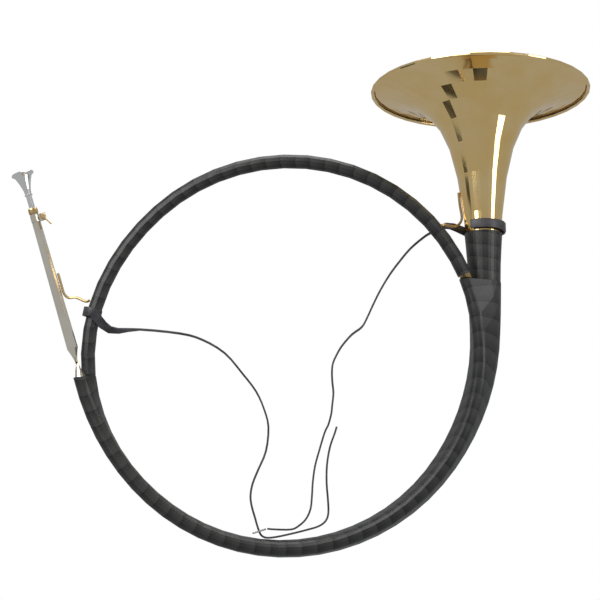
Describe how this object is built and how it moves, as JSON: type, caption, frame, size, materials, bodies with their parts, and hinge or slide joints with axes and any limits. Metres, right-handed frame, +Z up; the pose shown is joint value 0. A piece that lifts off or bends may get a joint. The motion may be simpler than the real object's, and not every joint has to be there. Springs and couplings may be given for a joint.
{
  "type": "hunting horn",
  "caption": "Circular leather-bound hunting horn with a flared brass bell, a clamped mouthpiece and a buckled carrying strap.",
  "frame": {"origin": "where the inside of the ring's top arc rests on the peg that the horn hangs from", "axes": "+Z up, +X towards the bell's side of the ring, +Y away from the viewer of the picture"},
  "size_m": [0.6557, 0.2488, 0.5493],
  "materials": {
    "silver": "polished",
    "nickel": "polished",
    "brass": "satin",
    "bright_brass": "polished",
    "steel": "polished",
    "wrap_leather": "semi-gloss",
    "strap_leather": "semi-gloss"
  },
  "bodies": {
    "horn": {"mouthpipe": "nickel", "receiver_ring": "brass", "clamp_band": "nickel", "coil_tube": "brass", "bell_branch": "brass", "bell": "bright_brass", "bell_rim_wire": "steel", "mouthpipe_joint_sleeve": "brass", "coil_joint_sleeve": "brass", "bell_joint_sleeve": "brass", "joined_wrap": "wrap_leather", "top_arc_wrap": "wrap_leather", "bell_tube_wrap": "wrap_leather", "mouthpipe_brace": "brass", "bell_brace": "brass", "strap_left": "strap_leather", "strap_right": "strap_leather", "buckle_frame": "steel"},
    "mouthpiece": {"mouthpiece": "silver"},
    "clamp_screw": {"clamp_screw": "brass"}
  },
  "joints": [
    {"name": "mouthpiece_slide", "type": "slide", "parent": "horn", "child": "mouthpiece", "axis": [-0.2857, 0, 0.9583], "range_m": [0, 0.02]},
    {"name": "clamp_screw_turn", "type": "hinge", "parent": "horn", "child": "clamp_screw", "pos_m": [-0.32138, 0.00099, -0.04916], "axis": [0, -1, 0], "range_deg": [0, 90]}
  ]
}
